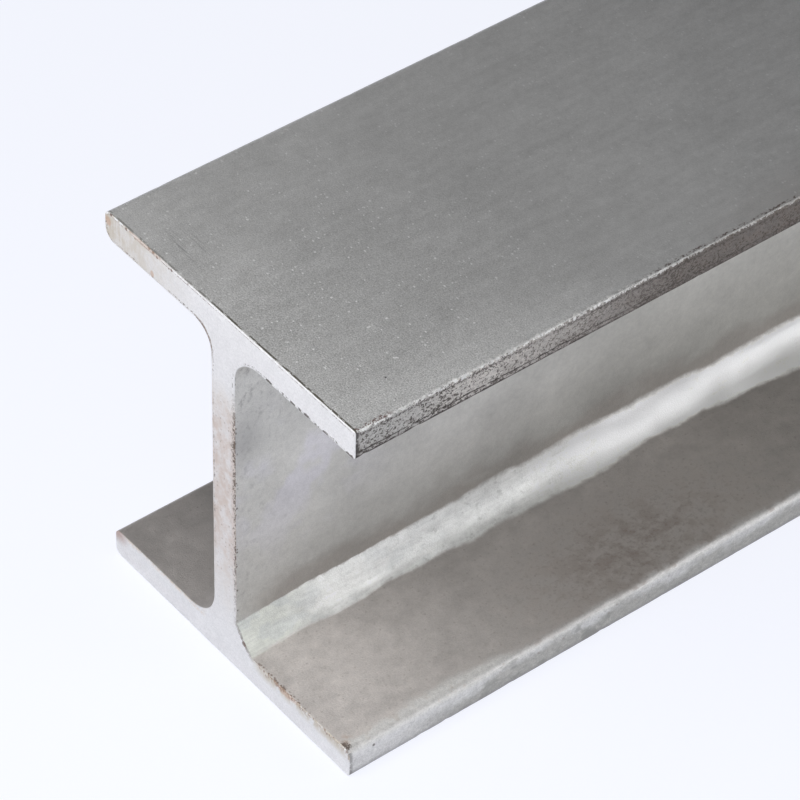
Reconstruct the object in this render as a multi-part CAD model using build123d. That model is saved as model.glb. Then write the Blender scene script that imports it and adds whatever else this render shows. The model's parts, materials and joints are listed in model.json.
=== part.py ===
# An aluminium H-beam: one straight length of section, lying on its lower flange.
# Millimetres, +Z up. The length runs along Y, and the origin is on the floor under the middle
# of the beam, midway between the flange tips. The sawn end that is usually seen faces -Y.

from build123d import *

import os

# Driving dimensions of the section
section_height = 120.0
flange_width = 100.5
flange_thickness = 9.0
web_thickness = 9.5

# The web stands a little nearer to the -X tips, within the mill's tolerance for such a section
web_off_centre = -1.75

# The roots, where web and flange meet. The mill left each of the four with a radius of its own.
upper_left_root_radius = 7.5
upper_right_root_radius = 10.0
lower_left_root_radius = 11.0
lower_right_root_radius = 8.5

# The corners of the flange tips. Most on the +X side left the mill crisp, but the upper corner of the
# lower flange is worn round. On the -X side the upper corner of both flanges is eased, the lower corner
# of the lower flange is blunt, and that of the upper flange is well rounded.
crisp_tip_radius = 0.8
worn_tip_radius = 2.5
eased_tip_radius = 2.2
blunt_tip_radius = 2.6
rounded_tip_radius = 3.6

# The stock length, and the narrow bevel that deburring leaves round each sawn end
beam_length = 500.0
end_bevel = 0.3


def h_corners():
    """The twelve corners of the H, each with its radius, anticlockwise from the lower -X tip."""
    right = flange_width / 2
    left = -right
    web_right = web_off_centre + web_thickness / 2
    web_left = web_off_centre - web_thickness / 2
    under = section_height - flange_thickness
    return [
        (left, 0, blunt_tip_radius),
        (right, 0, crisp_tip_radius),
        (right, flange_thickness, worn_tip_radius),
        (web_right, flange_thickness, lower_right_root_radius),
        (web_right, under, upper_right_root_radius),
        (right, under, crisp_tip_radius),
        (right, section_height, crisp_tip_radius),
        (left, section_height, eased_tip_radius),
        (left, under, rounded_tip_radius),
        (web_left, under, upper_left_root_radius),
        (web_left, flange_thickness, lower_left_root_radius),
        (left, flange_thickness, eased_tip_radius),
    ]


def h_section():
    """The filled outline of the H, with X across the flanges and Y up the web from the lower face."""
    places = [(x, height) for x, height, radius in h_corners()]
    radii = [radius for x, height, radius in h_corners()]
    with BuildSketch() as section:
        with BuildLine():
            FilletPolyline(places, radius=radii, close=True)
        make_face()
    return section.sketch


def sawn_length(outline):
    """The outline carried along Y for the stock length, with both sawn ends deburred all round."""
    with BuildPart() as beam:
        extrude(Plane.XZ * outline, beam_length / 2, both=True)
        chamfer(beam.faces().filter_by(Axis.Y).edges(), end_bevel)
    return beam.part


os.makedirs("parts", exist_ok=True)
export_step(sawn_length(h_section()), "parts/h_beam.step")
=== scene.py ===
# %% [markdown]
# A length of aluminium H-beam, dressed in Blender.
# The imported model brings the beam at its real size. This lesson builds a finer skin over it, gives
# the skin three finishes, and lights it as a product picture. Every length is in metres.

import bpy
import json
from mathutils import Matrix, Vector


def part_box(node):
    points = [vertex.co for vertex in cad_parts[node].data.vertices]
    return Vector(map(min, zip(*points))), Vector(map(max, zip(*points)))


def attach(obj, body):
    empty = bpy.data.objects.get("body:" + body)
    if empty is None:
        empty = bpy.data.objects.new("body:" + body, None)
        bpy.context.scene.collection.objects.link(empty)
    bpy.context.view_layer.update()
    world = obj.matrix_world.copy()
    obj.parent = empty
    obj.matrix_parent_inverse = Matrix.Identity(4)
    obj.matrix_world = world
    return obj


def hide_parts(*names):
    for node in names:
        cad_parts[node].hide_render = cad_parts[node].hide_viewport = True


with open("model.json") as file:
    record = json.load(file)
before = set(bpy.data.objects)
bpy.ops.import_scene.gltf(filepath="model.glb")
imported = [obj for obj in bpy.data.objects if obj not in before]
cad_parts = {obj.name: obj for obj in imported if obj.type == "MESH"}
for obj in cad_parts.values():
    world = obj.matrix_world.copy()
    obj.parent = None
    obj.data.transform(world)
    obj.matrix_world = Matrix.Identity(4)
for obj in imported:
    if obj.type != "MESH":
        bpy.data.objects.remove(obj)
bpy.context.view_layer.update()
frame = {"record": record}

# %% Tools for the whole lesson
import json
import math

import bpy
import numpy as np
from mathutils import Matrix, Vector
from mathutils.geometry import delaunay_2d_cdt

MM = 0.001

# %% [markdown]
# ## The section's sizes
# A beam like this is one constant section, so a few sizes describe it. The overall ones come from
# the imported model, and the web's two faces from its mounts. The walls and radii are the drawing's:
# each of the four roots has its own radius, and the corners of the flange tips differ.

# %% Section sizes
left, near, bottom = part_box("h_beam")[0]
right, far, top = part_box("h_beam")[1]
mount_at = {m["name"]: m["pos_m"] for m in frame["record"]["mounts"]}
web_left = mount_at["web_left"][0]
web_right = mount_at["web_right"][0]
flange = 9.0 * MM
deck = bottom + flange
under = top - flange
upper_left, upper_right, lower_left, lower_right = 7.5 * MM, 10.0 * MM, 11.0 * MM, 8.5 * MM
crisp, eased, worn, blunt, rounded = 0.8 * MM, 2.2 * MM, 2.5 * MM, 2.6 * MM, 3.6 * MM
print("web from", web_left, "to", web_right, "and length", far - near)

# %% [markdown]
# ## Where the skin needs points
# Nicks on an arris are half a millimetre wide, while the middle of a flange is nearly flat. Equal
# spacing would waste most of its points, so the spacing grows with the distance from an arris.
# The running count of gaps is the integral of one over the spacing, and reading that count back
# at whole numbers gives the places. The same function serves round the section and along the beam.

# %% Graded spacing
def graded(length, spacing):
    """Places from 0 to length, both included, whose gaps follow spacing(place)."""
    fine = np.linspace(0, length, 4001)
    middles = (fine[1:] + fine[:-1]) / 2
    count = np.concatenate([[0], np.cumsum(np.diff(fine) / spacing(middles))])
    return np.interp(np.linspace(0, count[-1], math.ceil(count[-1]) + 1), count, fine)


def growing(length, start, growth, widest):
    """A spacing that is start at both ends and grows away from them, up to widest."""
    return lambda x: np.minimum(start + growth * np.minimum(x, length - x), widest)

# %% [markdown]
# ## The outline of the section
# The H is a polygon of twelve square corners, and every corner is an arc: wide at the four roots
# where web and flange meet, small at the flange tips. Going round anticlockwise, a corner's arc
# starts one radius before the corner and ends one radius after it, and its centre is the corner
# moved back by a radius and on by a radius. The outward normal is kept with every point, because
# the relief is pushed along it later.

# %% Corners of the outline
corners = [
    (left, bottom, blunt), (right, bottom, crisp), (right, deck, worn),
    (web_right, deck, lower_right), (web_right, under, upper_right), (right, under, crisp),
    (right, top, crisp), (left, top, eased), (left, under, rounded),
    (web_left, under, upper_left), (web_left, deck, lower_left), (left, deck, eased),
]
corner_places = np.array([(x, z) for x, z, _ in corners])
corner_radii = np.array([radius for _, _, radius in corners])
is_root = corner_radii > 5 * MM

# Places in the list of corners: the root that is rubbed bright, the worn round tip, the sharp upper tip
BRIGHT_ROOT, WORN, SHARP = 3, 2, 6
arc_gap, first_gap, widest_gap = 0.6 * MM, 0.42 * MM, 6 * MM

# %% Outline points and normals
def unit(v):
    """The same direction with length 1."""
    return v / np.linalg.norm(v)


def corner_arc(i):
    """The arc at corner i: centre + radius * (sin a * way in - cos a * way out), for a from 0 to 90
    degrees. The normal is that direction, turned round at a root, where the corner is hollow."""
    place, radius = corner_places[i], corner_radii[i]
    way_in = unit(place - corner_places[i - 1])
    way_out = unit(corner_places[(i + 1) % 12] - place)
    steps = max(4, round(radius * math.pi / 2 / arc_gap))
    angle = np.linspace(0, math.pi / 2, steps + 1)[:, None]
    ray = np.sin(angle) * way_in - np.cos(angle) * way_out
    points = place - radius * way_in + radius * way_out + radius * ray
    return points, -ray if is_root[i] else ray


def flat_run(i):
    """The points between the arcs of corner i and the next, ends left out."""
    begin, end = corner_arc(i)[0][-1], corner_arc((i + 1) % 12)[0][0]
    length = np.linalg.norm(end - begin)
    share = (graded(length, growing(length, first_gap, 0.26, widest_gap)) / length)[1:-1, None]
    way = unit(end - begin)
    normal = np.array([way[1], -way[0]])
    return begin + share * (end - begin), np.repeat(normal[None], len(share), 0)


stretches = [part for i in range(12) for part in (corner_arc(i), flat_run(i))]
outline = np.concatenate([points for points, _ in stretches])
normals = np.concatenate([directions for _, directions in stretches])
stretch_of = np.repeat(np.arange(24), [len(points) for points, _ in stretches])
columns = len(outline)
print(columns, "points round the section")

# %% [markdown]
# ## Distances round the outline
# Dirt and nicks gather at the arrises, and the lower right root is a bright band. Both are a matter
# of how far a point is from a corner, measured round the outline.

# %% Distance to the nearest tip and root
gaps = np.linalg.norm(np.roll(outline, -1, 0) - outline, axis=1)
round_at = np.concatenate([[0], np.cumsum(gaps)[:-1]])
girth = gaps.sum()
arc_begin = np.array([round_at[stretch_of == 2 * i][0] for i in range(12)])
arc_length = corner_radii * math.pi / 2
arc_middle = arc_begin + arc_length / 2


def nearest(centres):
    """The distance round the outline from each point to the nearest of these places."""
    away = np.abs(round_at[:, None] - np.atleast_1d(centres)[None])
    return np.minimum(away, girth - away).min(1)


to_tip = nearest(arc_middle[~is_root])
to_root = nearest(arc_middle[is_root])
inside_band = arc_length[BRIGHT_ROOT] / 2 - nearest(arc_middle[BRIGHT_ROOT])
print("girth in mm", round(1000 * girth, 1))

# %% [markdown]
# ## Rows along the beam
# Both sawn ends need fine rows for their rough arrises. The stretch that a close picture shows, a
# good 190 mm from the near end, gets rows every 1.4 mm, and the rest is wider.

# %% Row places
close_up = 200 * MM


def row_spacing(y):
    """Fine at both ends, 1.4 mm through the close-up, and 3.6 mm beyond it."""
    ends = growing(far - near, 0.3 * MM, 0.14, 3.6 * MM)(y)
    return np.minimum(ends, np.where(y < close_up, 1.4 * MM, 3.6 * MM))


rows = near + graded(far - near, row_spacing)
print(len(rows), "rows,", 2 * len(rows) * columns, "triangles in the skin")

# %% [markdown]
# ## Smooth random numbers
# Mill relief is irregular but smooth. Value noise gives that: a random number sits at each corner
# of a lattice, and a smoothstep blends the eight corners round a point. Everything is worked out as
# whole arrays, and the seed keeps it the same on every run.

# %% Value noise
hash_way, hash_seed, hash_scale = np.array([127.1, 311.7, 74.7]), 53.3, 43758.5453


def value_noise(points, size, seed):
    """Random from 0 to 1 and smooth, with lattice cells of this size along X, Y and Z. The random
    number of a lattice corner is what follows the point in a sine that has been made very large."""
    cell = points / np.asarray(size)
    base = np.floor(cell)
    part = cell - base
    part = part * part * (3 - 2 * part)
    total = 0
    for corner in np.ndindex(2, 2, 2):
        share = np.prod(np.where(corner, part, 1 - part), axis=-1)
        key = (base + corner) @ hash_way + hash_seed * seed
        total = total + share * ((np.sin(key) * hash_scale) % 1)
    return total


def along_noise(y, size, seed):
    """The same noise along Y alone."""
    return value_noise(np.stack([np.zeros_like(y), y, np.zeros_like(y)], -1), (1, size, 1), seed)


def smooth(x, start, stop):
    """0 before start and 1 after stop, as a smoothstep between; stop may be the smaller."""
    t = np.clip((x - start) / (stop - start), 0, 1)
    return t * t * (3 - 2 * t)

# %% [markdown]
# ## The skin
# The skin is a grid: the outline carried along the beam, row by row. First the bright root is given
# its real, uneven shape. It is dressed almost flat, so its points move from the arc towards the
# chord, and its two borders wander up the web and across the flange by a millimetre or so. Their
# neighbours on the flat faces slide along with them, which changes nothing but the spacing.
# Flatness is the share of the gap between arc and chord that is filled, and lumps lie on top.

# %% Grid
grid = np.empty((len(rows), columns, 3))
grid[..., 0] = outline[:, 0]
grid[..., 1] = rows[:, None]
grid[..., 2] = outline[:, 1]

# %% The dressed root
slide_reach = 24 * MM
in_root = stretch_of == 2 * BRIGHT_ROOT
on_web = stretch_of == 2 * BRIGHT_ROOT + 1
on_deck = stretch_of == 2 * BRIGHT_ROOT - 1
lift_share = np.where(in_root, (outline[:, 1] - deck) / lower_right, 0)
lift_share[on_web] = smooth(outline[on_web, 1] - deck - lower_right, slide_reach, 0)
slide_share = np.where(in_root, (outline[:, 0] - web_right) / lower_right, 0)
slide_share[on_deck] = smooth(outline[on_deck, 0] - web_right - lower_right, slide_reach, 0)


def through(knots, y):
    """A smooth line through (y, height) knots in mm: each pair is joined by a smoothstep."""
    at, height = np.array(knots).T * MM
    i = np.clip(np.searchsorted(at, y, side="right") - 1, 0, len(at) - 2)
    return height[i] + (height[i + 1] - height[i]) * smooth((y - at[i]) / (at[i + 1] - at[i]), 0, 1)


from_end = rows - near
web_knots = [(0, 8.3), (40, 8.1), (72, 9.6), (135, 9.7), (170, 7.7), (230, 7.9), (300, 9.3), (380, 8.0),
             (440, 8.9), (500, 8.2)]
deck_knots = [(0, 6.1), (38, 6.4), (90, 7.4), (115, 8.3), (142, 6.7), (188, 9.9), (250, 7.4), (310, 8.2),
              (390, 6.9), (450, 7.9), (500, 6.8)]
web_border = through(web_knots, from_end) + 1.5 * MM * (along_noise(from_end, 8 * MM, 5) - 0.5)
deck_border = through(deck_knots, from_end) + 1.3 * MM * (along_noise(from_end, 9 * MM, 6) - 0.5)
grid[..., 2] += (web_border - lower_right)[:, None] * lift_share
grid[..., 0] += (deck_border - lower_right)[:, None] * slide_share

turn_in_arc = np.where(in_root, (round_at - arc_begin[BRIGHT_ROOT]) / lower_right - math.pi / 4, 0)
chord_gap = np.where(in_root, lower_right * (1 - math.sqrt(0.5) / np.cos(turn_in_arc)), 0)
flatness = 0.25 + 0.5 * smooth(from_end, 75 * MM, 20 * MM) + 0.16 * smooth(from_end, 100 * MM, 150 * MM)
lumps = 0.9 * MM * smooth(inside_band, 0, 2.5 * MM) * (value_noise(grid, (7 * MM, 17 * MM, 7 * MM), 9) - 0.5)
dressing = flatness[:, None] * chord_gap + lumps
print("the root is filled by up to", round(1000 * dressing.max(), 2), "mm")

# %% [markdown]
# ## Relief of the other faces
# Three more kinds of relief are pushed along the outline's normal, all inwards on the outer faces, so
# that the beam keeps its size: a very slight waviness, nicks along the long arrises, and some
# unevenness of the plain roots.

# %% Relief
waves = 0.12 * MM * value_noise(grid, (32 * MM, 75 * MM, 32 * MM), 1)
ragged = value_noise(grid, (3 * MM, 2.6 * MM, 3 * MM), 2)
nicks = smooth(to_tip, 1.1 * MM, 0.2 * MM) * (0.05 * MM * ragged + 0.22 * MM * smooth(ragged, 0.72, 0.98))
plain_roots = smooth(to_root, 6 * MM, 1 * MM) * (inside_band < 0) * 0.4 * MM * value_noise(
    grid, (9 * MM, 16 * MM, 9 * MM), 3)

outward = dressing - waves - nicks - plain_roots
grid[..., 0] += outward * normals[:, 0]
grid[..., 2] += outward * normals[:, 1]
print("deepest relief in mm", round(-1000 * outward.min(), 2))

# %% [markdown]
# ## The sawn ends
# A saw leaves a thin, uneven bevel after deburring. Close to each end, three rings take the place of
# the rows: where the bevel leaves the long faces, half-way round it, and on the end plane. Inside the
# last ring the end is filled by a Delaunay triangulation through a grid of extra points, so that the
# distance to the rim can be stored at every point for the finish.

# %% Rings of the bevel
bevel_zone = 0.6 * MM


def bevel_rings(ring, end, inwards):
    """Three rings round an end: on the end plane and inset by the bevel's width, half-way round the
    bevel, which bulges a little, and on the long faces. The width wanders, from 0.1 to 0.36 mm."""
    wander = value_noise(ring, (1.2 * MM, 1.2 * MM, 1.2 * MM), 4 + inwards)
    broad = value_noise(ring, (9 * MM, 9 * MM, 9 * MM), 7 + inwards)
    width = (0.1 + 0.12 * wander + 0.14 * broad)[:, None] * MM
    normal = np.stack([normals[:, 0], np.zeros(columns), normals[:, 1]], 1)
    along = np.array([[0, inwards, 0]])
    plane = ring.copy()
    plane[:, 1] = end
    return plane - width * normal, plane - 0.3 * width * normal + 0.3 * width * along, plane + width * along


keep = (rows > near + bevel_zone) & (rows < far - bevel_zone)
near_face, near_mid, near_edge = bevel_rings(grid[0], near, 1)
far_face, far_mid, far_edge = bevel_rings(grid[-1], far, -1)
skin = np.concatenate([[near_face, near_mid, near_edge], grid[keep], [far_edge, far_mid, far_face]])
print("skin rings", len(skin))

# %% Fill of the sawn face
rim_steps, fill_step = (0.4 * MM, 1.0 * MM), 1.6 * MM


def distance_to(ring, points):
    """The distance of each point to the closed line through the ring."""
    a, b = ring, np.roll(ring, -1, 0)
    edge = b - a
    share = ((points[:, None] - a) * edge).sum(-1) / np.maximum((edge * edge).sum(-1), 1e-18)
    foot = a + np.clip(share, 0, 1)[..., None] * edge
    return np.linalg.norm(points[:, None] - foot, axis=-1).min(1)


def points_inside(ring):
    """Two lines that follow the rim, and a grid within the flanges and the web, clear of the lines."""
    rim_lines = np.concatenate([ring - step * normals for step in rim_steps])
    on_line = distance_to(ring, rim_lines) > 0.97 * np.repeat(rim_steps, columns)
    x, z = np.meshgrid(np.arange(left, right, fill_step), np.arange(bottom, top, fill_step))
    cells = np.stack([x.ravel(), z.ravel()], 1)
    in_web = (cells[:, 0] > web_left) & (cells[:, 0] < web_right)
    in_flange = (cells[:, 1] < deck) | (cells[:, 1] > under)
    cells = cells[in_web | in_flange]
    return np.concatenate([rim_lines[on_line], cells[distance_to(ring, cells) > 1.7 * MM]])


def filled(ring):
    """Points inside the ring, their distance to it, and triangles, facing -Y, over ring and points."""
    flat = ring[:, [0, 2]]
    inside = points_inside(flat)
    everything = np.concatenate([flat, inside])
    rim = [(i, (i + 1) % columns) for i in range(columns)]
    made = delaunay_2d_cdt([Vector(p) for p in everything], rim, [], 1, 1e-9)
    assert len(made[0]) == len(everything)
    return inside, distance_to(flat, inside), np.array(made[2])


near_inside, near_rim, near_triangles = filled(near_face)
far_inside, far_rim, far_triangles = filled(far_face)
print("triangles on the near end", len(near_triangles))

# %% [markdown]
# ## One closed mesh
# Rings become quads, and both fills are welded on by sharing the outermost rings. The far fill is
# turned round so that every face points outwards.

# %% Mesh of the beam
ring_count = len(skin)
skin_points = skin.reshape(-1, 3)


def on_plane(flat_points, y):
    """(x, z) points as (x, y, z) points, all at this y."""
    return np.stack([flat_points[:, 0], np.full(len(flat_points), y), flat_points[:, 1]], 1)


def welded(triangles, outer_ring, first_inside):
    """Triangle numbers moved from the fill's own list to the mesh's: ring points first, then inside."""
    on_ring = triangles < columns
    return np.where(on_ring, triangles + outer_ring * columns, triangles - columns + first_inside)


ring, column = np.meshgrid(np.arange(ring_count - 1), np.arange(columns), indexing="ij")
after = (column + 1) % columns
quads = np.stack([ring * columns + column, (ring + 1) * columns + column,
                  (ring + 1) * columns + after, ring * columns + after], -1).reshape(-1, 4)
first_near = len(skin_points)
first_far = first_near + len(near_inside)
points = np.concatenate([skin_points, on_plane(near_inside, near), on_plane(far_inside, far)])
near_faces = welded(near_triangles, 0, first_near)
far_faces = welded(far_triangles, ring_count - 1, first_far)[:, ::-1]
mesh = bpy.data.meshes.new("beam_skin")
mesh.from_pydata(points.tolist(), [], quads.tolist() + near_faces.tolist() + far_faces.tolist())
mesh.update()
beam = bpy.data.objects.new("beam", mesh)
bpy.context.scene.collection.objects.link(beam)
mesh.shade_smooth()
mesh.set_sharp_from_angle(angle=math.radians(24))
print("triangles", 2 * len(quads) + len(near_faces) + len(far_faces))

# %% [markdown]
# ## What the finishes read
# Distances are stored on the points, and a finish can then follow the edges without knowing the
# shape. rim runs to the nearest arris of any kind, band_up and band_down run into the dressed root
# from its border on the web and from its border on the flange, and rubbed and rounded run to the two
# long arrises that are bright: the upper one worn, the round one with a painted highlight.

# %% Stored distances
to_end = np.minimum(skin[..., 1] - near, far - skin[..., 1])
along_root = (round_at - arc_begin[BRIGHT_ROOT] + girth / 2) % girth - girth / 2
caps = len(points) - len(skin_points)
far_off = 0.1


def round_the_skin(values):
    """The same value on every ring, and far off on the sawn faces: outside, where values have a sign."""
    outside = -far_off if values.min() < 0 else far_off
    return np.concatenate([np.tile(values, ring_count), np.full(caps, outside)])


stored = {
    "rim": np.concatenate([np.minimum(to_tip[None], to_end).ravel(), near_rim, far_rim]),
    "band_down": round_the_skin(along_root),
    "band_up": round_the_skin(arc_length[BRIGHT_ROOT] - along_root),
    "rubbed": round_the_skin(nearest(arc_middle[SHARP])),
    "rounded": round_the_skin(nearest(arc_middle[WORN])),
}
for name, values in stored.items():
    layer = mesh.attributes.new(name, "FLOAT", "POINT")
    layer.data.foreach_set("value", values.astype(np.float32))
print({name: (round(float(v.min()), 4), round(float(v.max()), 4)) for name, v in stored.items()})

# %% [markdown]
# ## Shorthand for node trees
# Every finish is layers of noise, masks and mixes, so a small class has a method for each. A method
# adds a node and gives back the socket that leaves it. A value that is fed to a node is a number or
# the socket of another node.

# %% Adding and joining nodes
class Nodes:
    """The node tree of a material or a world, emptied and ready to be filled step by step."""

    def __init__(self, owner):
        owner.use_nodes = True
        self.tree = owner.node_tree
        self.tree.nodes.clear()

    def feed(self, socket, value):
        if isinstance(value, bpy.types.NodeSocket):
            self.tree.links.new(value, socket)
        else:
            socket.default_value = value

    def add(self, kind, inputs=None, **settings):
        node = self.tree.nodes.new(kind)
        for name, value in settings.items():
            setattr(node, name, value)
        for name, value in (inputs or {}).items():
            self.feed(node.inputs[name], value)
        return node

    def math(self, operation, *values):
        node = self.add("ShaderNodeMath", operation=operation)
        for socket, value in zip(node.inputs, values):
            self.feed(socket, value)
        return node.outputs[0]

    def joined(self, operation, first, others):
        for value in others:
            first = self.math(operation, first, value)
        return first

    def times(self, first, *others):
        return self.joined("MULTIPLY", first, others)

    def plus(self, first, *others):
        return self.joined("ADD", first, others)

    def most(self, first, *others):
        return self.joined("MAXIMUM", first, others)

    def rise(self, value, start, stop):
        """0 before start and 1 after stop, smooth between; stop may be the smaller."""
        inputs = {0: value, 1: start, 2: stop}
        return self.add("ShaderNodeMapRange", inputs, interpolation_type="SMOOTHSTEP").outputs[0]

    def span(self, value, low, high):
        """A 0 to 1 value stretched to run from low to high."""
        return self.add("ShaderNodeMapRange", {0: value, 3: low, 4: high}).outputs[0]

    def mix(self, factor, first, second):
        node = self.add("ShaderNodeMix", {0: factor}, data_type="RGBA")
        for socket, colour in ((node.inputs[6], first), (node.inputs[7], second)):
            self.feed(socket, colour if isinstance(colour, bpy.types.NodeSocket) else (*colour, 1.0))
        return node.outputs[2]

# %% [markdown]
# Patterns lie on the metal, so they read Object coordinates and stay where they are on the beam.
# Their sizes are written in millimetres.

# %% Patterns and masks
class Patterns(Nodes):
    """Nodes that know where on the beam they are."""

    def __init__(self, owner):
        super().__init__(owner)
        self.place = self.add("ShaderNodeTexCoord").outputs["Object"]
        self.x, self.y, self.z = self.add("ShaderNodeSeparateXYZ", {"Vector": self.place}).outputs

    def along(self, start, stop):
        """A rise along the beam, between two distances from its near end in mm."""
        return self.rise(self.y, near + start * MM, near + stop * MM)

    def spread(self, value, amount):
        """A noise value centred on 0 and spread to about plus or minus this amount."""
        return self.math("MULTIPLY_ADD", value, 3 * amount, -1.5 * amount)

    def near_to(self, middle, reach):
        """A soft oval mask round a place, (x, y, z) in metres with reach (x, y, z) in mm."""
        inputs = {0: self.place, 1: middle}
        offset = self.add("ShaderNodeVectorMath", inputs, operation="SUBTRACT").outputs[0]
        inputs = {0: offset, 1: [1000 / r for r in reach]}
        scaled = self.add("ShaderNodeVectorMath", inputs, operation="MULTIPLY").outputs[0]
        length = self.add("ShaderNodeVectorMath", {0: scaled}, operation="LENGTH").outputs["Value"]
        return self.rise(length, 1.0, 0.0)

    def frayed(self, mask, noise, amount, start, stop):
        """The mask times 1 plus or minus a share of the noise, cut off between start and stop."""
        return self.rise(self.times(mask, self.span(noise, 1 - amount, 1 + amount)), start, stop)

    def stored(self, name):
        return self.add("ShaderNodeAttribute", attribute_name=name).outputs["Fac"]

    def noise(self, size, detail=2.0, rough=0.5, offset=0.0):
        """Noise whose cells have this size, (x, y, z) in mm, moved by offset cells."""
        inputs = {"Vector": self.place, "Scale": [1000 / s for s in size], "Location": [offset] * 3}
        cells = self.add("ShaderNodeMapping", inputs).outputs[0]
        inputs = {"Vector": cells, "Scale": 1.0, "Detail": detail, "Roughness": rough}
        return self.add("ShaderNodeTexNoise", inputs).outputs["Fac"]

    def dots(self, u, v, cell, smallest, largest, share):
        """Round dots on the plane of u and v, with radii in mm: a share of the cells holds one."""
        inputs = {0: self.times(u, 1000 / cell), 1: self.times(v, 1000 / cell)}
        inputs = {"Vector": self.add("ShaderNodeCombineXYZ", inputs).outputs[0], "Scale": 1.0}
        node = self.add("ShaderNodeTexVoronoi", inputs, voronoi_dimensions="2D")
        chance = self.add("ShaderNodeSeparateColor", {"Color": node.outputs["Color"]})
        size = self.span(chance.outputs["Green"], smallest / cell, largest / cell)
        dot = self.rise(self.math("DIVIDE", node.outputs["Distance"], size), 1.2, 0.7)
        return self.times(dot, self.math("LESS_THAN", chance.outputs["Red"], share))

# %% [markdown]
# Colours are laid over one another like coats of paint, each through the product of its masks.
# The worn, dirty metal is only partly metallic.

# %% A finish
METALLIC = 0.6


class Finish(Patterns):
    """One material, built up from patterns and coats of colour."""

    def __init__(self, name):
        self.material = bpy.data.materials.new(name)
        super().__init__(self.material)

    def over(self, colour, coat, *masks):
        """The coat laid over the colour, as strong as the product of the masks."""
        return self.mix(self.times(*masks), colour, coat)

    def shade(self, colour, amount):
        """The colour made lighter or darker by this factor."""
        inputs = {0: colour, "Scale": amount}
        return self.add("ShaderNodeVectorMath", inputs, operation="SCALE").outputs[0]

    def metal(self, colour, roughness, height):
        """The finished metal, raised by height, which is in metres."""
        normal = self.add("ShaderNodeBump", {"Height": height, "Distance": 1.0}).outputs[0]
        shader = self.add("ShaderNodeBsdfPrincipled", {
            "Base Color": colour, "Roughness": roughness, "Metallic": METALLIC, "Normal": normal})
        self.add("ShaderNodeOutputMaterial", {"Surface": shader.outputs[0]})
        return self.material

# %% [markdown]
# ## The mill face
# The rolled faces are a neutral, dull grey: a fine matt grain, faint streaks along the beam, soft
# clouds and a few pale specks. Noises of five sizes and masks for the faces are made once and kept
# on the finish, because most of its layers use them.

# %% Patterns and places of the mill face
def mill_patterns(f):
    """Noises from clouds down to grain, and a mask for each face or zone."""
    f.clouds = f.noise((20, 30, 20), detail=3, rough=0.55)
    f.mottle = f.noise((4, 5, 4), detail=3, rough=0.6)
    f.small = f.noise((1.3, 1.5, 1.3), detail=3, rough=0.65, offset=2.1)
    f.grain = f.noise((0.36, 0.36, 0.36), detail=2, rough=0.7)
    f.beads = f.noise((0.75, 0.9, 0.75), detail=2, rough=0.7, offset=8.8)
    f.at_corner = f.near_to((right, near, top), (150, 120, 400))
    f.inside = f.rise(f.z, under + 4 * MM, under)
    f.on_top = f.rise(f.z, top - 1.5 * MM, top - 0.5 * MM)
    f.low = f.rise(f.z, deck + 9 * MM, deck + 2 * MM)
    f.in_right = f.times(f.inside, f.rise(f.x, web_right - 1 * MM, web_right))
    f.in_left = f.times(f.inside, f.rise(f.x, web_left + 1 * MM, web_left))
    f.on_web = f.times(f.in_right, f.rise(f.z, deck + 6 * MM, deck + 10 * MM))

# %% [markdown]
# Inside the channels lies a warmer film, partly painted shade, which thickens further along and shows
# a cool, lilac patch near the end. How light the metal is from place to place, with painted light and
# shade on each face, is worked out apart from its colour.

# %% Rolled skin, and painted light and shade
MILL, WEB_MILL = (0.60, 0.598, 0.592), (0.604, 0.598, 0.575)
FILM, WEB_FILM = (0.52, 0.489, 0.47), (0.546, 0.538, 0.50)
LILAC = (0.665, 0.65, 0.71)


def rolled_skin(f):
    """The mill's grey, the film over it, partly painted shade further along the web, and the lilac patch."""
    # The film: a warmer tint on the lower flange, and on the web a darkening further along that is partly
    # painted shade.
    film = f.most(f.low, f.times(f.along(50, 150), f.inside, 0.8))
    colour = f.mix(film, f.mix(f.on_web, MILL, WEB_MILL), f.mix(f.on_web, FILM, WEB_FILM))
    patches = f.rise(f.noise((12, 12, 12), detail=2, offset=5.2), 0.46, 0.62)
    near_end = f.near_to((web_right, near + 20 * MM, 60 * MM), (30, 40, 36))
    return f.over(colour, LILAC, patches, f.inside, near_end, 0.60)


def rolled_tone(f):
    """1, plus every noise spread round 0, some of them on their own face only."""
    streaks = f.noise((2.6, 15, 2.6), detail=4, rough=0.65, offset=7.1)
    coarseness = f.times(f.span(f.at_corner, 0.12, 0.66), f.span(f.inside, 1.0, 0.30))
    return f.plus(f.spread(f.clouds, 0.08), f.spread(f.mottle, 0.05), f.spread(f.small, 0.09), 1.0,
                  f.times(f.spread(f.clouds, 0.08), f.on_web), f.times(f.spread(f.mottle, 0.12), f.low),
                  f.times(f.spread(streaks, 0.10), f.on_top), f.times(f.spread(f.grain, 1.0), coarseness))


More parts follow.
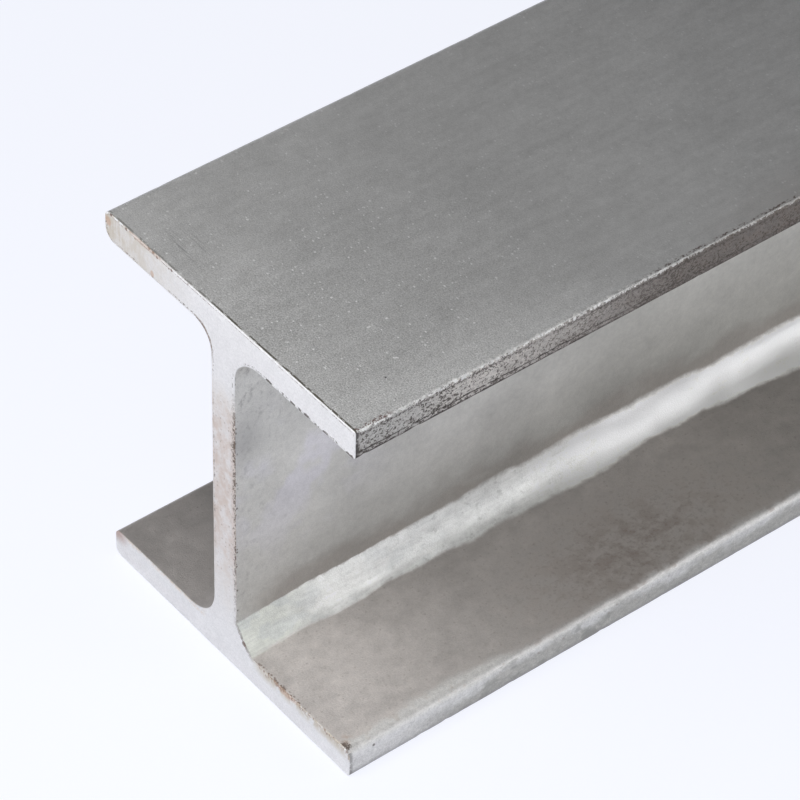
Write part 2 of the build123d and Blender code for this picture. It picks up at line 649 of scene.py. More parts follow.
def tone_and_painted_light(f, colour):
    """Painted light and shade: 1, plus what each face gains or loses by where light falls, times the tone."""
    far_arris = f.rise(f.x, left + 1.5 * MM, left + 0.6 * MM)
    colour = f.over(colour, (0.25, 0.25, 0.25), f.on_top, far_arris, 0.6)
    shaded_mid_top = f.near_to((0, near + 55 * MM, top), (80, 80, 60))
    lit_right_top = f.near_to((right, near + 38 * MM, top), (20, 66, 20))
    # Painted light and shade: the right channel lighter, the left darker, the lower flange lighter at the cut
    # and darker further in, the top darker mid-way and lighter at the right.
    side = f.plus(f.times(f.in_right, 0.29), f.times(f.in_left, -0.10), 1.0,
                  f.times(f.along(28, 0), f.in_right, -0.04), f.times(f.along(40, 0), f.in_left, 0.03),
                  f.times(f.span(f.along(5, 55), 0.12, -0.21), f.low),
                  f.times(f.along(125, 180), f.low, -0.27),
                  f.times(shaded_mid_top, f.on_top, -0.11), f.times(lit_right_top, f.on_top, 0.17))
    return f.shade(colour, f.times(rolled_tone(f), side))

# %% [markdown]
# The lower flange is finely spotted and has one large brown blotch. Painted shade darkens the web
# just above the dressed root, and the web has been smudged close to the cut.

# %% Dirt and painted shade inside the channels
def channel_dirt_and_shade(f, colour):
    """The blotch, spots and freckles of the lower flange, then painted shade up the web above the root."""
    blotch = f.near_to((38 * MM, near + 106 * MM, deck), (27, 60, 20))
    stained = f.rise(f.plus(f.mottle, f.spread(f.clouds, 0.12)), 0.36, 0.68)
    colour = f.over(colour, (0.27, 0.225, 0.20), stained, blotch, f.low, 0.72)
    spots = f.rise(f.small, 0.46, 0.70)
    colour = f.over(colour, (0.22, 0.19, 0.17), spots, f.low, f.span(blotch, 0.20, 0.50))
    freckles = f.dots(f.x, f.y, 2.3, 0.14, 0.36, 0.40)
    colour = f.over(colour, (0.24, 0.20, 0.18), freckles, f.low, f.span(f.mottle, 0.1, 1.0), 0.45)
    above = f.plus(f.stored("band_up"), f.spread(f.noise((9, 14, 9), detail=2, offset=3.3), 6 * MM))
    # Painted shade: a wide, faint darkening of the web above the dressed root, and a darker strip right above
    # it.
    painted_shade_above_root = f.rise(above, -29 * MM, -2 * MM)
    colour = f.over(colour, (0.30, 0.30, 0.28), painted_shade_above_root, f.on_web, f.along(0, 34), 0.44)
    shadow = f.times(f.rise(above, -11 * MM, -1 * MM), f.rise(f.z, deck + 2 * MM, deck + 5 * MM))
    return f.over(colour, (0.30, 0.26, 0.235), shadow, f.along(0, 14), f.span(f.mottle, 0.55, 1.15), 0.58)


def web_smudges(f, colour):
    """Small smudges that thicken upwards near the cut, and one large smudge."""
    small_ones = f.rise(f.noise((1.9, 1.5, 1.9), detail=2, rough=0.65, offset=7.7), 0.50, 0.78)
    upwards = f.span(f.rise(f.z, 60 * MM, 100 * MM), 0.25, 0.55)
    colour = f.over(colour, (0.27, 0.26, 0.26), small_ones, f.on_web, f.along(32, 0), upwards)
    large = f.near_to((web_right, near + 2.5 * MM, 79 * MM), (9, 11, 14))
    return f.over(colour, (0.27, 0.27, 0.28), large, f.span(f.mottle, 0.3, 1.0), 0.62)

# %% [markdown]
# The lower right root has been rubbed bright. Its border on the web is crisp near the cut and soft
# further along. The rubbed metal is greener and bluish at first and almost white later, with fine
# scratches along it and shallow pits. A painted highlight lies on it near the cut.

# %% The bright root
BRIGHT = (0.90, 0.905, 0.885)


def bright_root(f, colour):
    """Rubbed metal wherever both stored distances into the band are positive, with a painted highlight."""
    border = f.spread(f.noise((2.2, 3.0, 2.2), detail=2, offset=6.6), 0.55 * MM)
    up = f.plus(f.stored("band_up"), border)
    down = f.plus(f.stored("band_down"), border)
    softness = f.span(f.along(20, 130), 0.3 * MM, 1.8 * MM)
    band = f.times(f.rise(f.math("DIVIDE", up, softness), -0.5, 1.0), f.rise(down, -0.8 * MM, 1.2 * MM))
    pits = f.rise(f.noise((1.5, 2.2, 1.5), detail=2, offset=8.2), 0.60, 0.72)
    rubbed = f.over(BRIGHT, (0.58, 0.58, 0.56), pits, 0.5)
    rubbed = f.over(rubbed, (0.72, 0.74, 0.68), f.along(32, 8), 0.8)
    bluish = f.rise(f.noise((4, 7, 4), detail=2, offset=1.9), 0.50, 0.64)
    rubbed = f.over(rubbed, (0.62, 0.65, 0.66), bluish, f.along(80, 20), 0.38)
    # Painted highlight: a near-white oval on the band about 33 mm from the cut.
    painted_highlight = f.near_to((6 * MM, near + 33 * MM, deck + 4 * MM), (9, 20, 9))
    rubbed = f.over(rubbed, (1.0, 1.0, 0.97), painted_highlight, 0.8)
    further = f.along(80, 125)
    rubbed = f.over(rubbed, (1.0, 1.0, 0.975), further)
    scratches = f.noise((0.8, 9, 0.8), detail=3, rough=0.6, offset=1.3)
    tone = f.plus(f.spread(f.mottle, 0.14), f.spread(f.small, 0.10), f.spread(scratches, 0.12),
                  f.spread(f.grain, 0.10), f.times(further, 0.10), 1.0)
    return f.mix(band, colour, f.shade(rubbed, tone))

# %% [markdown]
# Handling has worn the upper long arris bright in a thin line, which breaks up into beads and fades
# further along. The round arris of the lower flange has a broad painted highlight. Both finishes that
# meet there need them, so they are functions of their own.

# %% Worn arris and painted highlight
# Colour of the worn line and of the painted highlight on the round arris.
WEAR_AND_HIGHLIGHT = (0.86, 0.855, 0.84)


def rubbed_line(f, width):
    """A worn line along the upper arris, about this many mm wide."""
    border = f.plus(f.stored("rubbed"), f.spread(f.mottle, 0.35 * MM), f.spread(f.beads, 1.0 * MM))
    line = f.rise(f.math("SUBTRACT", border, f.times(width, MM)), 0.0, -0.15 * MM)
    return f.times(line, f.span(f.rise(f.beads, 0.56, 0.47), 0.25, 1.0), f.span(f.along(70, 115), 1.0, 0.52))


def painted_highlight_zone(f, narrowing, cloudy, mottled, outer, inner):
    """A painted highlight zone that ends between outer and inner from the round arris. It wanders with the
    clouds and the mottle, and narrows after 38 mm. All five are in mm."""
    distance = f.plus(f.stored("rounded"), f.times(f.along(38, 62), narrowing * MM),
                      f.spread(f.clouds, cloudy * MM), f.spread(f.mottle, mottled * MM))
    return f.rise(distance, outer * MM, inner * MM)


def wear_and_highlight_metal(f, mottled, speckled):
    """Bright metal of the worn line and the painted highlight, its tone spread by these amounts."""
    tone = f.plus(f.spread(f.mottle, mottled), f.spread(f.small, speckled), f.spread(f.grain, 0.2), 1.0)
    return f.shade(WEAR_AND_HIGHLIGHT, tone)


def mill_wear_and_highlight(f, colour):
    """The worn upper arris and the painted highlight on the round one, which has brown grime on the flange.
    """
    width = f.plus(f.span(f.along(15, 55), 0.36, 0.72), f.times(f.along(75, 105), -0.42))
    # worn: the worn line on the upper arris, and the painted highlight on the round arris.
    worn = f.most(rubbed_line(f, width), f.times(painted_highlight_zone(f, 1.9, 1.6, 1.2, 4.8, 1.6), 0.85))
    grime = f.rise(f.plus(f.mottle, f.spread(f.small, 0.12)), 0.53, 0.68)
    on_deck = f.rise(f.z, deck + 9 * MM, deck)
    return f.mix(worn, colour, f.over(wear_and_highlight_metal(f, 0.12, 0.22), (0.52, 0.46, 0.41), grime, on_deck, 0.5))

# %% [markdown]
# Dirt has gathered beside the worn line, and the near corner of the top shows a little rust. At the
# cut itself lie a dark, broken line, chips along the web, and burrs and dirt on the lower flange.

# %% Dirt at the arrises
def arris_dirt(f, colour):
    """A row of dark beads beside the line, rust at the near corner, and a brown cast further along."""
    to_arris = f.stored("rubbed")
    beside = f.times(f.rise(to_arris, 1.5 * MM, 1.1 * MM), f.rise(to_arris, 0.3 * MM, 0.6 * MM))
    row = f.times(beside, f.rise(f.beads, 0.52, 0.59), f.along(78, 100), f.on_top)
    colour = f.over(colour, (0.14, 0.105, 0.09), row, 0.85)
    at_corner = f.rise(f.near_to((right, near + 4.5 * MM, top), (9, 9.5, 9)), 0.0, 0.5)
    flaky = f.rise(f.plus(f.beads, f.spread(f.grain, 0.1)), 0.49, 0.54)
    rust = f.times(f.rise(to_arris, 1.5 * MM, 0.9 * MM), flaky, at_corner)
    colour = f.over(colour, (0.18, 0.10, 0.09), rust, 0.92)
    brown = f.near_to((right, near + 145 * MM, top), (16, 48, 10))
    return f.over(colour, (0.36, 0.31, 0.28), brown, f.on_top, f.span(f.small, 0.0, 0.45))


def marks_at_cut(f, colour):
    """The line on the top, the web's chips, then burrs, a dark corner and an orange spot below."""
    dashes = f.rise(f.noise((3.4, 1.0, 3.4), detail=3, rough=0.7, offset=4.9), 0.45, 0.50)
    end_line = f.times(f.along(0.90, 0.66), f.on_top, dashes)
    rightwards = f.span(f.rise(f.x, -16 * MM, 4 * MM), 0.5, 0.95)
    colour = f.over(colour, (0.11, 0.10, 0.08), end_line, rightwards)
    large_chips = f.times(f.dots(f.y, f.z, 1.5, 0.25, 0.50, 0.60), f.rise(f.z, 60 * MM, 68 * MM))
    small_chips = f.times(f.dots(f.y, f.z, 1.7, 0.20, 0.40, 0.35), f.rise(f.z, 68 * MM, 60 * MM))
    chips = f.most(large_chips, small_chips)
    colour = f.over(colour, (0.12, 0.09, 0.07), chips, f.on_web, f.along(1.1, 0.6), 0.8)
    burrs = f.times(f.dots(f.x, f.y, 1.2, 0.25, 0.65, 0.9), f.along(1.25, 0.6),
                    f.rise(f.z, deck + 1.5 * MM, deck), f.rise(f.x, 8 * MM, 14 * MM),
                    f.rise(f.x, 40 * MM, 26 * MM))
    colour = f.over(colour, (0.22, 0.145, 0.115), burrs, 0.8)
    corner = f.near_to((right - 2.6 * MM, near + 0.8 * MM, deck), (2.9, 2.4, 3.4))
    colour = f.over(colour, (0.15, 0.105, 0.08), f.frayed(corner, f.beads, 1.6, 0.25, 0.70), 0.9)
    orange = f.near_to((right - 4.2 * MM, near + 2.2 * MM, deck), (2.4, 2.4, 3.0))
    return f.over(colour, (0.60, 0.45, 0.36), orange, f.rise(f.small, 0.40, 0.60), 0.6)

# %% [markdown]
# Last come the marks on the top face: pale specks, clusters of painted glints near the corner, one dark
# pinprick, and a patch of fine lines. Then the layers are laid over one another in turn.

# %% Mill face finish
def top_marks(f, colour):
    """Specks and painted glints, both denser towards the near right corner, the pinprick and the fine lines.
    """
    specks = f.most(f.dots(f.x, f.y, 7.0, 0.18, 0.36, 0.35), f.dots(f.x, f.y, 3.1, 0.12, 0.20, 0.12))
    # Painted glints: small white dots in clusters of noise.
    glint_clusters = f.rise(f.noise((7, 7, 7), detail=2, offset=6.1), 0.50, 0.60)
    painted_glints = f.times(f.dots(f.times(f.x, 0.6), f.y, 1.5, 0.14, 0.26, 0.35), glint_clusters)
    strength = f.times(f.span(f.at_corner, 0.30, 1.0), f.span(f.small, 0.4, 1.6))
    colour = f.over(colour, (0.97, 0.97, 0.97), f.most(specks, painted_glints), strength, f.on_top)
    pinprick = f.near_to((39.4 * MM, near + 17.5 * MM, top), (0.45, 0.45, 0.8))
    colour = f.over(colour, (0.10, 0.10, 0.10), f.rise(pinprick, 0.2, 0.5))
    fine_lines = f.rise(f.noise((11, 0.42, 11), detail=1, offset=5.9), 0.54, 0.66)
    patch = f.near_to((-26 * MM, near + 7 * MM, top), (13, 9, 9))
    return f.over(colour, (0.24, 0.24, 0.24), fine_lines, f.on_top, patch, 0.5)


def mill_face():
    f = Finish("mill_face")
    mill_patterns(f)
    colour = channel_dirt_and_shade(f, rolled_skin(f))
    for layer in (tone_and_painted_light, web_smudges, bright_root, mill_wear_and_highlight, arris_dirt, marks_at_cut, top_marks):
        colour = layer(f, colour)
    height = f.plus(f.times(f.grain, 0.11 * MM), f.times(f.mottle, 0.09 * MM))
    return f.metal(colour, f.span(f.mottle, 0.46, 0.54), height)


mill_material = mill_face()
print("mill face nodes", len(mill_material.node_tree.nodes))

# %% [markdown]
# ## The tip faces
# The narrow faces of the flange tips were never rolled flat. Those of the upper flange are covered
# with fine dark pits, thickest along the lower arris, and browner further along. Those of the lower
# flange are paler and only clouded.

# %% Skin and pits of the tip faces
def tip_patterns(f):
    """Noises, masks for the upper and the lower flange, the height over the lower arris, and pits."""
    f.clouds = f.noise((8, 15, 8), detail=3)
    f.mottle = f.noise((3, 4, 3), detail=3, rough=0.6)
    f.small = f.noise((1.1, 1.5, 1.1), detail=3, rough=0.65, offset=2.7)
    f.grain = f.noise((0.40, 0.46, 0.40), detail=3, rough=0.7)
    f.beads = f.noise((0.75, 0.9, 0.75), detail=3, rough=0.7, offset=8.8)
    f.upper = f.rise(f.z, 40 * MM, 80 * MM)
    f.lower = f.rise(f.upper, 1.0, 0.0)
    f.wander = f.spread(f.noise((2, 4, 2), detail=3), 0.45 * MM)
    f.to_low = f.plus(f.z, f.wander, -under)
    fine = f.noise((0.58, 0.74, 0.58), detail=3, rough=0.75, offset=3.1)
    thicker = f.plus(f.times(f.rise(f.to_low, 5 * MM, 0.0), 0.06), f.spread(f.clouds, 0.07),
                     f.spread(f.small, 0.06), f.spread(f.mottle, 0.04))
    f.pits = f.times(f.rise(f.plus(fine, thicker), 0.505, 0.58), f.span(f.upper, 0.04, 1.0))


def tip_skin(f):
    """Pale on the lower flange, dull on the upper one, where a dark film closes in further along."""
    pale = f.mix(f.along(5, 45), (0.71, 0.70, 0.69), (0.48, 0.47, 0.44))
    dull = f.mix(f.along(12, 36), (0.585, 0.57, 0.54), (0.69, 0.655, 0.61))
    colour = f.mix(f.upper, pale, dull)
    colour = f.over(colour, (0.182, 0.158, 0.137), f.along(32, 108), f.upper, 0.95)
    return f.shade(colour, f.plus(f.spread(f.clouds, 0.12), f.spread(f.mottle, 0.16), f.spread(f.small, 0.18),
                                  f.spread(f.grain, 0.32), 1.0))

# %% [markdown]
# Dark lines follow the arrises of the tip faces: two broken ones along the lower arris, one under
# the rubbed line and one at the cut. The lower flange's tip face is smeared and freckled instead.

# %% Marks on the tip faces
def tip_dirt_and_shade(f, colour):
    """Brown patches, painted shade along the floor, the pits, and the dark lines along both arrises."""
    brown = f.rise(f.plus(f.mottle, f.times(f.rise(f.to_low, 7 * MM, 1 * MM), 0.08)), 0.50, 0.66)
    colour = f.over(colour, (0.20, 0.165, 0.14), brown, f.upper, f.span(f.along(80, 160), 0.28, 0.85))
    # Painted shade: the lower flange's tip face darker towards the floor.
    painted_floor_shade = f.rise(f.plus(f.z, f.wander, -bottom), 2.6 * MM, 0.4 * MM)
    colour = f.over(colour, (0.28, 0.28, 0.29), painted_floor_shade, 0.55)
    colour = f.over(colour, (0.085, 0.07, 0.06), f.pits, f.span(f.along(20, 75), 0.88, 0.58))
    second = f.times(f.rise(f.to_low, 1.8 * MM, 2.0 * MM), f.rise(f.to_low, 2.4 * MM, 2.2 * MM))
    broken = f.rise(f.noise((0.6, 3, 0.6), detail=3, offset=4.4), 0.36, 0.46)
    low_lines = f.times(f.most(f.rise(f.to_low, 1.2 * MM, 0.85 * MM), second), broken, f.upper)
    colour = f.over(colour, (0.055, 0.04, 0.035), low_lines, f.span(f.along(55, 110), 1.0, 0.45), 0.9)
    beneath = f.plus(f.stored("rubbed"), f.spread(f.beads, 0.6 * MM))
    beneath = f.times(f.rise(beneath, 0.9 * MM, 1.15 * MM), f.rise(beneath, 1.9 * MM, 1.5 * MM))
    return f.over(colour, (0.09, 0.075, 0.065), beneath, f.rise(f.grain, 0.44, 0.54), 0.75)


def tip_wear_and_highlight(f, colour):
    """The worn upper arris and the painted highlight on the round one, on the tip faces."""
    line = rubbed_line(f, f.span(f.along(75, 105), 0.55, 0.30))
    # broad: the painted highlight on the round arris of the lower flange.
    broad = f.times(painted_highlight_zone(f, 1.2, 3, 2, 5.5, 1.2), f.lower, 0.7)
    return f.mix(f.most(line, broad), colour, wear_and_highlight_metal(f, 0.14, 0.16))


def tip_marks(f, colour):
    """Smears, freckles and one dot on the lower flange's tip, and the line at the cut."""
    smears = f.rise(f.noise((8, 7, 5), detail=3, rough=0.65, offset=6.3), 0.50, 0.63)
    patch = f.near_to((right, near + 68 * MM, 2 * MM), (20, 54, 16))
    colour = f.over(colour, (0.29, 0.285, 0.265), smears, f.lower, patch, 0.75)
    freckles = f.dots(f.y, f.z, 3.0, 0.20, 0.45, 0.35)
    on_arris = f.near_to((right, near + 75 * MM, deck), (20, 60, 9))
    colour = f.over(colour, (0.30, 0.22, 0.18), freckles, on_arris, 0.55)
    dot = f.near_to((right, near + 7.9 * MM, 6.8 * MM), (0.7, 0.7, 0.7))
    colour = f.over(colour, (0.22, 0.20, 0.19), f.rise(dot, 0.0, 0.8))
    broken = f.rise(f.small, 0.36, 0.46)
    return f.over(colour, (0.09, 0.08, 0.075), f.along(1.5, 0.7), broken, f.span(f.upper, 0.5, 0.95))


def tip_face():
    f = Finish("tip_face")
    tip_patterns(f)
    colour = tip_marks(f, tip_wear_and_highlight(f, tip_dirt_and_shade(f, tip_skin(f))))
    height = f.plus(f.times(f.grain, 0.08 * MM), f.times(f.pits, -0.06 * MM), f.times(f.mottle, 0.08 * MM),
                    f.times(f.small, 0.05 * MM))
    return f.metal(colour, f.span(f.pits, 0.48, 0.7), height)


tip_material = tip_face()
print("tip face nodes", len(tip_material.node_tree.nodes))

# %% [markdown]
# ## The sawn ends
# Fresh cuts are much paler than the skin, and a fine saw grain runs across them. A pale brown stain
# lies on the web, along the lower flange's arris and at one tip, and two spots have turned orange.

# %% Metal and stains of a sawn end
SAWN = (0.885, 0.875, 0.875)
TAN, PALE_TAN = (0.67, 0.56, 0.49), (0.67, 0.61, 0.52)


def sawn_patterns(f):
    """Noises, the distance to the rim with and without a wander, and masks for the stained zones."""
    f.lines = f.noise((14, 14, 0.5), detail=3, rough=0.6)
    f.grain = f.noise((0.45, 0.45, 0.45), detail=3, rough=0.65)
    f.patch = f.noise((3, 3, 4), detail=4, rough=0.7, offset=1.7)
    f.chip = f.noise((0.8, 0.8, 0.8), detail=3, rough=0.75, offset=5.5)
    f.rim = f.stored("rim")
    wander = f.spread(f.noise((1.6, 1.6, 1.6), detail=3, rough=0.7, offset=9.1), 0.45 * MM)
    f.wandering = f.plus(f.rim, wander)
    across = f.times(f.rise(f.x, web_left - 3 * MM, web_left), f.rise(f.x, web_right + 3 * MM, web_right))
    f.on_web = f.times(across, f.rise(f.z, 8 * MM, 48 * MM), f.rise(f.z, 100 * MM, 84 * MM))
    f.web_arris = f.times(f.on_web, f.rise(f.x, web_right - 3.2 * MM, web_right - 0.8 * MM))
    f.deck_arris = f.times(f.rise(f.z, deck - 4.5 * MM, deck - 0.8 * MM), f.rise(f.z, deck + 1.5 * MM, deck),
                           f.rise(f.x, 8 * MM, 16 * MM))
    f.top_arris = f.rise(f.z, top - 2 * MM, top - 1.2 * MM)
    f.below_top = f.rise(f.z, top - 3 * MM, top - 4 * MM)


def sawn_metal(f):
    clouds = f.noise((11, 11, 11), detail=3)
    return f.shade(SAWN, f.plus(f.spread(clouds, 0.03), f.spread(f.grain, 0.14), f.spread(f.lines, 0.02),
                                f.spread(f.patch, 0.05), 1.0))


def sawn_stains(f, colour):
    """The largest of the four stains, and the two orange spots."""
    marks = f.noise((0.7, 4, 9), detail=3, rough=0.6, offset=0.4)
    at_tip = f.near_to((left, near, under + 5 * MM), (42, 30, 24))
    tip_patches = f.span(f.rise(f.plus(f.patch, f.spread(marks, 0.15)), 0.35, 0.6), 0.45, 1.0)
    web_patches = f.span(f.rise(f.patch, 0.34, 0.66), 0.25, 0.85)
    stain = f.most(f.times(web_patches, f.on_web), f.times(f.web_arris, 0.7), f.times(at_tip, tip_patches),
                   f.times(f.deck_arris, f.rise(f.patch, 0.32, 0.54)))
    colour = f.mix(stain, colour, f.mix(f.on_web, PALE_TAN, TAN))
    orange = f.most(f.near_to((-48.8 * MM, near, 117 * MM), (2.2, 3, 2.6)),
                    f.near_to((-30.5 * MM, near, 112.4 * MM), (1.3, 3, 1.8)))
    return f.over(colour, (0.60, 0.36, 0.22), f.frayed(orange, f.grain, 0.5, 0.15, 0.7), 0.55)


def sawn_burrs(f, colour):
    """Brown burrs on the lower flange: a line left of the web, one at the left tip, one to the right."""
    left_rim = f.times(f.rise(f.x, web_left - 3 * MM, web_left - 6 * MM),
                       f.rise(f.z, deck - 1.6 * MM, deck - 0.4 * MM), f.rise(f.z, 50 * MM, 40 * MM))
    colour = f.over(colour, (0.80, 0.69, 0.58), left_rim, f.rise(f.patch, 0.36, 0.56),
                    f.rise(f.chip, 0.40, 0.52), 0.6)
    left_burr = f.near_to((left + 1.4 * MM, near, deck - 0.9 * MM), (5.5, 3, 4.6))
    colour = f.over(colour, (0.50, 0.35, 0.30), left_burr, f.span(f.patch, 0.35, 1.35))
    right_burr = f.near_to((24 * MM, near, deck), (9, 3, 3.2))
    return f.over(colour, (0.62, 0.40, 0.28), f.frayed(right_burr, f.patch, 0.6, 0.2, 0.65), 0.5)

# %% [markdown]
# The upper arris of the cut is bright, with a thin dark line under it. The others are broken by dark
# dashes and nicks, which lie in a ring a little inside the rim.

# %% Arrises of a sawn end
DIRT = (0.12, 0.085, 0.065)


def sawn_top_arris(f, colour):
    """The glint, the ring of dashes, the thin line, nicks to the left, and a burr."""
    gaps = f.rise(f.noise((1.1, 1.1, 1.1), detail=3, rough=0.7, offset=0.9), 0.46, 0.54)
    glint = f.rise(f.plus(f.rim, f.spread(f.chip, 0.12 * MM)), 0.27 * MM, 0.16 * MM)
    colour = f.over(colour, (0.99, 0.99, 0.99), glint, f.rise(f.z, top - 1.4 * MM, top - 0.9 * MM), gaps)
    stretches = f.rise(f.noise((6, 6, 6), detail=2, offset=3.8), 0.42, 0.58)
    ring = f.times(f.rise(f.wandering, 0.15 * MM, 0.35 * MM), f.rise(f.wandering, 0.80 * MM, 0.62 * MM))
    colour = f.over(colour, DIRT, f.rise(f.chip, 0.51, 0.55), ring, f.span(stretches, 0.10, 0.75),
                    f.rise(f.z, 30 * MM, 60 * MM), f.below_top)
    thin_line = f.times(f.rise(f.rim, 0.22 * MM, 0.30 * MM), f.rise(f.rim, 0.62 * MM, 0.48 * MM),
                        f.rise(f.chip, 0.44, 0.52), f.top_arris, f.span(stretches, 0.35, 1.0))
    colour = f.over(colour, (0.28, 0.22, 0.18), thin_line, 0.85)
    nicks = f.times(f.dots(f.x, f.z, 1.6, 0.25, 0.55, 0.65), f.rise(f.rim, 0.95 * MM, 0.6 * MM),
                    f.rise(f.x, -10 * MM, -22 * MM), f.rise(f.z, 90 * MM, 100 * MM))
    colour = f.over(colour, (0.22, 0.15, 0.12), nicks, f.span(f.top_arris, 0.3, 0.9))
    burr = f.near_to((-33 * MM, near, top), (14, 3, 2.0))
    return f.over(colour, (0.56, 0.40, 0.30), f.frayed(burr, f.patch, 0.8, 0.2, 0.7), 0.5)


def sawn_root_arrises(f, colour):
    """Dark lines at the lower right root and under the upper flange, and painted shade at the upper left
    root.
    """
    low_root = f.near_to((6.2 * MM, near, 13 * MM), (8, 3, 9))
    low_root = f.times(low_root, f.rise(f.wandering, 0.75 * MM, 0.5 * MM))
    colour = f.over(colour, (0.25, 0.22, 0.18), low_root, f.rise(f.chip, 0.40, 0.50), 0.8)
    beneath = f.times(f.rise(f.z, under + 2.0 * MM, under + 1.4 * MM),
                      f.rise(f.z, under - 1 * MM, under - 0.2 * MM), f.rise(f.x, 11 * MM, 16 * MM))
    dashes = f.plus(f.noise((1.7, 1.7, 1.7), detail=3, rough=0.65, offset=7.3),
                    f.times(f.rise(f.x, 34 * MM, 42 * MM), 0.05))
    colour = f.over(colour, (0.10, 0.08, 0.07), f.rise(dashes, 0.51, 0.56), beneath,
                    f.rise(f.wandering, 0.66 * MM, 0.46 * MM), 0.95)
    # Painted shade: a dark brown line along the rim at the upper left root.
    left_root_shade = f.times(f.rise(f.x, web_left - 8 * MM, web_left - 5 * MM),
                        f.rise(f.x, web_left + 1 * MM, web_left), f.rise(f.z, 100 * MM, 104 * MM),
                        f.rise(f.wandering, 0.8 * MM, 0.6 * MM))
    return f.over(colour, (0.22, 0.15, 0.11), left_root_shade, f.below_top, f.rise(f.chip, 0.38, 0.46), 0.85)

# %% [markdown]
# Crumbs of brown dirt cling to the web's right arris and to the lower flange's upper one. They are
# noise cut off at a level that falls towards the rim, so they thicken there.

# %% Sawn end finish
def sawn_dirt(f, colour):
    """Crumbs on both arrises, flecks on the web, and one spot at the lower right root."""
    crumbs = f.noise((0.7, 0.7, 0.9), detail=4, rough=0.75, offset=2.6)
    heavy = f.near_to((web_right, near, 79 * MM), (6, 3, 13))
    level = f.plus(crumbs, f.plus(f.times(f.rise(f.rim, 0.7 * MM, 0.2 * MM), 0.09), f.times(heavy, 0.05)))
    on_web = f.times(f.rise(level, 0.57, 0.61), f.web_arris, f.rise(f.rim, 3.0 * MM, 0.4 * MM))
    colour = f.over(colour, (0.13, 0.09, 0.065), on_web, 0.9)
    heavy = f.near_to((20 * MM, near, deck), (15, 3, 3))
    level = f.plus(crumbs, f.plus(f.times(f.rise(f.rim, 0.9 * MM, 0.2 * MM), 0.05), f.times(heavy, 0.06)))
    on_deck = f.times(f.rise(level, 0.57, 0.62), f.deck_arris, f.rise(f.rim, 2.0 * MM, 0.4 * MM))
    colour = f.over(colour, (0.32, 0.20, 0.14), on_deck, 0.75)
    colour = f.over(colour, (0.30, 0.21, 0.16), f.dots(f.x, f.z, 1.6, 0.12, 0.28, 0.35), f.on_web, 0.5)
    spot = f.near_to((6.3 * MM, near, 11.7 * MM), (1.5, 2, 1.3))
    return f.over(colour, (0.22, 0.14, 0.11), f.frayed(spot, crumbs, 0.6, 0.15, 0.6), 0.7)


def sawn_end():
    f = Finish("sawn_end")
    sawn_patterns(f)
    colour = sawn_metal(f)
    for layer in (sawn_stains, sawn_burrs, sawn_top_arris, sawn_root_arrises, sawn_dirt):
        colour = layer(f, colour)
    height = f.plus(f.times(f.lines, 0.03 * MM), f.times(f.grain, 0.05 * MM))
    return f.metal(colour, f.span(f.grain, 0.42, 0.54), height)


sawn_material = sawn_end()
print("sawn end nodes", len(sawn_material.node_tree.nodes))

# %% [markdown]
# ## Each face gets its finish
# The finish changes at real arrises: the faces that look sideways at the very tips are tip faces,
# and the bevel rings and fills are sawn.

# %% Material slots
ROLLED, TIP, CUT = 0, 1, 2
from_side = np.minimum(outline[:, 0] - left, right - outline[:, 0])
is_tip = (np.abs(normals[:, 0]) > 0.7) & (from_side < 3 * MM)
face_slots = np.tile(np.where(is_tip & np.roll(is_tip, -1), TIP, ROLLED), (ring_count - 1, 1))
face_slots[:2] = CUT
face_slots[-2:] = CUT
slots = np.concatenate([face_slots.ravel(), np.full(len(near_faces) + len(far_faces), CUT)])
for material in (mill_material, tip_material, sawn_material):
    mesh.materials.append(material)
mesh.polygons.foreach_set("material_index", slots.astype(np.int32))
mesh.update()
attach(beam, "root")
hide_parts("h_beam")
print("faces per finish", np.bincount(slots).tolist())

# %% [markdown]
# ## The floor and the room
# The picture's ground is a bluish white without a visible horizon. A floor that only reflects would
# need lamps that burn the metal out, so for the camera, and for what the metal mirrors, most of the
# floor's white is its own, and a smaller part is lit, which keeps the beam's soft shadow.

# %% Floor
PAPER = (0.905, 0.925, 1.0)
floor_size, floor_gap = 12.0, 0.05 * MM


def tinted(share):
    """The paper's colour, made darker by this factor."""
    return (*(share * c for c in PAPER), 1.0)


def seen_rays(nodes):
    """1 for camera, glossy and transmission rays, 0 for the others."""
    path = nodes.add("ShaderNodeLightPath").outputs
    return nodes.most(path["Is Camera Ray"], path["Is Glossy Ray"], path["Is Transmission Ray"])


half, floor_z = floor_size / 2, bottom - floor_gap
floor_corners = [(x * half, y * half, floor_z) for x, y in ((-1, -1), (1, -1), (1, 1), (-1, 1))]
floor_mesh = bpy.data.meshes.new("floor")
floor_mesh.from_pydata(floor_corners, [], [(0, 1, 2, 3)])
floor = bpy.data.objects.new("floor", floor_mesh)
bpy.context.scene.collection.objects.link(floor)

floor_paper = bpy.data.materials.new("floor_paper")
paint = Nodes(floor_paper)
own_light = paint.add("ShaderNodeEmission", {"Color": tinted(1), "Strength": 0.93})
lit = paint.add("ShaderNodeBsdfDiffuse", {"Color": tinted(0.15)})
shown = paint.add("ShaderNodeAddShader", {0: own_light.outputs[0], 1: lit.outputs[0]})
plain = paint.add("ShaderNodeBsdfDiffuse", {"Color": tinted(0.8)})
chosen = paint.add("ShaderNodeMixShader", {0: seen_rays(paint), 1: plain.outputs[0], 2: shown.outputs[0]})
paint.add("ShaderNodeOutputMaterial", {"Surface": chosen.outputs[0]})
floor_mesh.materials.append(floor_paper)
print("floor", floor_size, "m wide")

# %% [markdown]
# The room is seen in the same way. It has the paper's colour low down and is nearly black overhead,
# so that the top face mirrors darkness. It adds very little light of its own.

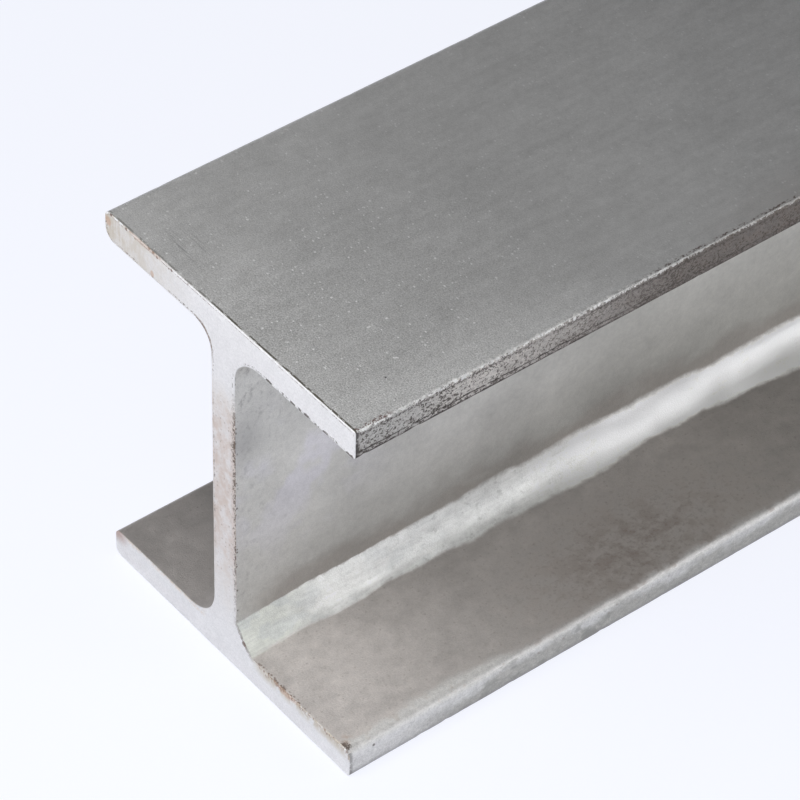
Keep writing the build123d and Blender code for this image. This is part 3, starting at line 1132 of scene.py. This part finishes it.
# %% Room
NEARLY_BLACK = (0.03, 0.03, 0.03)
world = bpy.data.worlds.new("room")
bpy.context.scene.world = world
room = Nodes(world)
direction = room.add("ShaderNodeTexCoord").outputs["Generated"]
height = room.add("ShaderNodeSeparateXYZ", {"Vector": direction}).outputs["Z"]
seen_colour = room.mix(room.rise(height, 0.08, 0.45), PAPER, NEARLY_BLACK)
seen_room = room.add("ShaderNodeBackground", {"Color": seen_colour, "Strength": 1.0})
lighting = room.add("ShaderNodeBackground", {"Color": (1.0, 1.0, 1.0, 1.0), "Strength": 0.03})
both = room.add("ShaderNodeMixShader", {0: seen_rays(room), 1: lighting.outputs[0], 2: seen_room.outputs[0]})
room.add("ShaderNodeOutputWorld", {"Surface": both.outputs[0]})
print("room nodes", len(room.tree.nodes))

# %% [markdown]
# ## Soft studio lamps
# The cut end is the brightest face, then the band in the root, while the top stays grey. So the
# lamps stand in front of the end and to the right, and none stands where the top would mirror it.

# %% Lamps
centre = Vector((20 * MM, near + 90 * MM, 60 * MM))


def softbox(name, place, side, glow):
    """A square lamp at this place, aimed at the beam. Its power is glow * pi * area."""
    data = bpy.data.lights.new(name, "AREA")
    data.shape = "SQUARE"
    data.size = side
    data.energy = glow * math.pi * side * side
    lamp = bpy.data.objects.new(name, data)
    lamp.location = place
    lamp.rotation_mode = "QUATERNION"
    lamp.rotation_quaternion = (centre - lamp.location).to_track_quat("-Z", "Y")
    bpy.context.scene.collection.objects.link(lamp)
    print(name, "at", [round(c, 3) for c in lamp.location])


softbox("front_softbox", (20 * MM, near - 135 * MM, 328 * MM), 0.25, 3.5)
softbox("left_softbox", (-105 * MM, near - 376 * MM, 635 * MM), 0.25, 7.0)
softbox("right_softbox", (0.884, near + 0.954, 0.505), 0.7, 3.0)

# %% [markdown]
# ## The camera
# The picture was taken with a long lens from high on the right, so the beam's edges stay nearly
# parallel. The axis of the lens meets the top face close to the near right-hand corner.

# %% Camera
aim = Vector((47.65 * MM, near + 15.3 * MM, top))
distance = 1.0147
elevation, azimuth, roll = (math.radians(degrees) for degrees in (43.26, 50.49, 1.63))
back = Vector((math.sin(azimuth) * math.cos(elevation),
               -math.cos(azimuth) * math.cos(elevation), math.sin(elevation)))
sideways = Vector((math.cos(azimuth), math.sin(azimuth), 0))
upright = Matrix((sideways, back.cross(sideways), back)).transposed()
camera_data = bpy.data.cameras.new("camera")
camera_data.sensor_width = 36.0
camera_data.lens = 194.3
camera = bpy.data.objects.new("camera", camera_data)
camera.location = aim + distance * back
camera.rotation_euler = (upright @ Matrix.Rotation(roll, 3, "Z")).to_euler()
bpy.context.scene.collection.objects.link(camera)
bpy.context.scene.camera = camera
bpy.context.scene.view_settings.view_transform = "Standard"
print("camera at", [round(c, 3) for c in camera.location])
